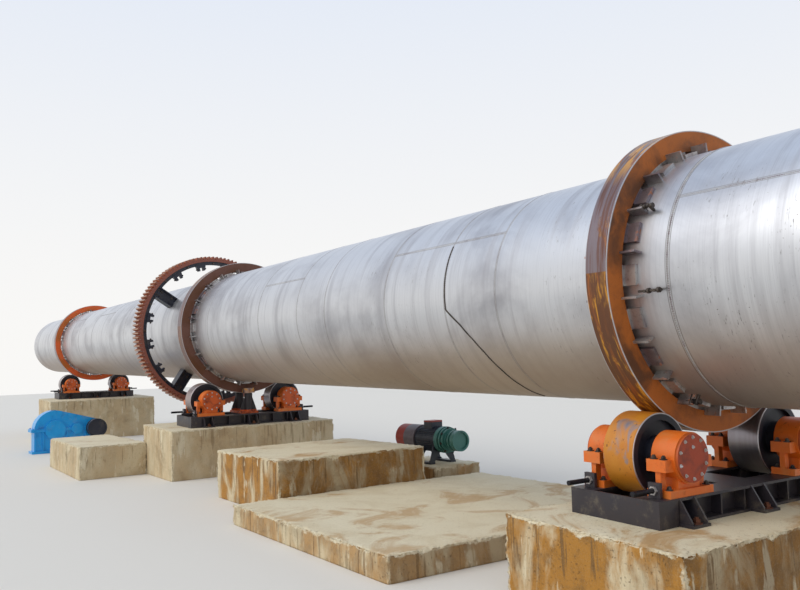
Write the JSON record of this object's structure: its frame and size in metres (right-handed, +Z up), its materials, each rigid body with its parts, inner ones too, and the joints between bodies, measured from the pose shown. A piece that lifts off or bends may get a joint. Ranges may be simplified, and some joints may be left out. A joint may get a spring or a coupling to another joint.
{
  "type": "rotary kiln",
  "caption": "Long sloping steel kiln drum on riding tyres, turned by a girth gear over support rollers on concrete piers, with its gearbox and motor beside it.",
  "frame": {"origin": "centre of the middle pier's underside", "axes": "+X towards the discharge end, level; +Y away from the drive block; +Z up"},
  "size_m": [37.9477, 5.05, 4.6354],
  "materials": {
    "shell": "rolled bright plate, scuffed",
    "tyre_rust": "rusted sides, rolled bright tread",
    "tyre_orange": "orange paint",
    "pads": "bare steel",
    "gear_rim": "red-brown primer over cut teeth",
    "gear_dark": "dark paint",
    "roller_steel": "rolled tread, dark faces",
    "housing_orange": "orange paint",
    "frame_dark": "dark primer",
    "screws": "bare steel",
    "thrust_steel": "turned steel",
    "concrete": "cast concrete with rust stains",
    "gearbox_blue": "blue enamel",
    "coupling_dark": "dark paint",
    "motor_dark": "dark enamel",
    "cowl_red": "faded red enamel",
    "motor_teal": "teal enamel"
  },
  "bodies": {
    "foundation": {"pier_inlet": "concrete", "pier_middle": "concrete", "pier_discharge": "concrete", "drive_block": "concrete", "middle_block": "concrete", "low_plinth": "concrete", "motor_pad": "concrete", "base_frame_inlet": "frame_dark", "base_frame_middle": "frame_dark", "base_frame_discharge": "frame_dark", "bearing_housings_inlet": "housing_orange", "bearing_housings_middle": "housing_orange", "bearing_housings_discharge": "housing_orange", "adjusting_screws_inlet": "screws", "adjusting_screws_middle": "screws", "adjusting_screws_discharge": "screws", "thrust_bracket": "frame_dark", "gearbox_case": "gearbox_blue", "gearbox_cover": "gearbox_blue", "motor_body": "motor_dark", "motor_cowl": "cowl_red"},
    "drum": {"shell_inlet_end": "shell", "shell_upper_span": "shell", "shell_drive_course": "shell", "shell_lower_span": "shell", "shell_discharge_end": "shell", "tyre_inlet": "tyre_orange", "tyre_middle": "tyre_rust", "tyre_discharge": "tyre_rust", "tyre_pads_inlet": "pads", "tyre_pads_middle": "pads", "tyre_pads_discharge": "pads", "girth_gear": "gear_rim", "gear_ring": "gear_dark", "spring_plates": "gear_dark"},
    "support_roller_front_inlet": {"roller_front_inlet": "roller_steel"},
    "support_roller_back_inlet": {"roller_back_inlet": "roller_steel"},
    "support_roller_front_middle": {"roller_front_middle": "roller_steel"},
    "support_roller_back_middle": {"roller_back_middle": "roller_steel"},
    "support_roller_front_discharge": {"roller_front_discharge": "roller_steel"},
    "support_roller_back_discharge": {"roller_back_discharge": "roller_steel"},
    "thrust_wheel_downhill": {"thrust_roller_downhill": "thrust_steel"},
    "thrust_wheel_uphill": {"thrust_roller_uphill": "thrust_steel"},
    "gearbox_input": {"gearbox_coupling": "coupling_dark"},
    "motor_rotor": {"motor_coupling": "motor_teal"}
  },
  "joints": [
    {"name": "drum_spin", "type": "hinge", "parent": "foundation", "child": "drum", "pos_m": [0, 0, 2.9], "axis": [0.9996, 0, -0.0288], "continuous": true},
    {"name": "roller_front_inlet_spin", "type": "hinge", "parent": "foundation", "child": "support_roller_front_inlet", "pos_m": [-13.91586, -0.83445, 1.85495], "axis": [0.9996, 0, -0.0288], "continuous": true},
    {"name": "roller_back_inlet_spin", "type": "hinge", "parent": "foundation", "child": "support_roller_back_inlet", "pos_m": [-13.91586, 0.83445, 1.85495], "axis": [0.9996, 0, -0.0288], "continuous": true},
    {"name": "roller_front_middle_spin", "type": "hinge", "parent": "foundation", "child": "support_roller_front_middle", "pos_m": [0.29824, -0.83445, 1.4455], "axis": [0.9996, 0, -0.0288], "continuous": true},
    {"name": "roller_back_middle_spin", "type": "hinge", "parent": "foundation", "child": "support_roller_back_middle", "pos_m": [0.29824, 0.83445, 1.4455], "axis": [0.9996, 0, -0.0288], "continuous": true},
    {"name": "roller_front_discharge_spin", "type": "hinge", "parent": "foundation", "child": "support_roller_front_discharge", "pos_m": [11.21372, -0.83445, 1.13107], "axis": [0.9996, 0, -0.0288], "continuous": true},
    {"name": "roller_back_discharge_spin", "type": "hinge", "parent": "foundation", "child": "support_roller_back_discharge", "pos_m": [11.21372, 0.83445, 1.13107], "axis": [0.9996, 0, -0.0288], "continuous": true},
    {"name": "thrust_downhill_spin", "type": "hinge", "parent": "foundation", "child": "thrust_wheel_downhill", "pos_m": [0.54621, 0, 1.60414], "axis": [0.0288, 0, 0.9996], "continuous": true},
    {"name": "thrust_uphill_spin", "type": "hinge", "parent": "foundation", "child": "thrust_wheel_uphill", "pos_m": [0.05412, 0, 1.61831], "axis": [0.0288, 0, 0.9996], "continuous": true},
    {"name": "gearbox_input_spin", "type": "hinge", "parent": "foundation", "child": "gearbox_input", "pos_m": [-7.865, -1.226, 0.62], "axis": [1, 0, 0], "continuous": true},
    {"name": "motor_spin", "type": "hinge", "parent": "foundation", "child": "motor_rotor", "pos_m": [5.3276, 1.56, 0.727], "axis": [1, 0, 0], "continuous": true}
  ],
  "couplings": [
    {"joint": "roller_front_inlet_spin", "follows": "drum_spin", "ratio": -3.9661},
    {"joint": "roller_back_inlet_spin", "follows": "drum_spin", "ratio": -3.9661},
    {"joint": "roller_front_middle_spin", "follows": "drum_spin", "ratio": -3.9661},
    {"joint": "roller_back_middle_spin", "follows": "drum_spin", "ratio": -3.9661},
    {"joint": "roller_front_discharge_spin", "follows": "drum_spin", "ratio": -3.9661},
    {"joint": "roller_back_discharge_spin", "follows": "drum_spin", "ratio": -3.9661},
    {"joint": "thrust_downhill_spin", "follows": "drum_spin", "ratio": -9.8431}
  ]
}
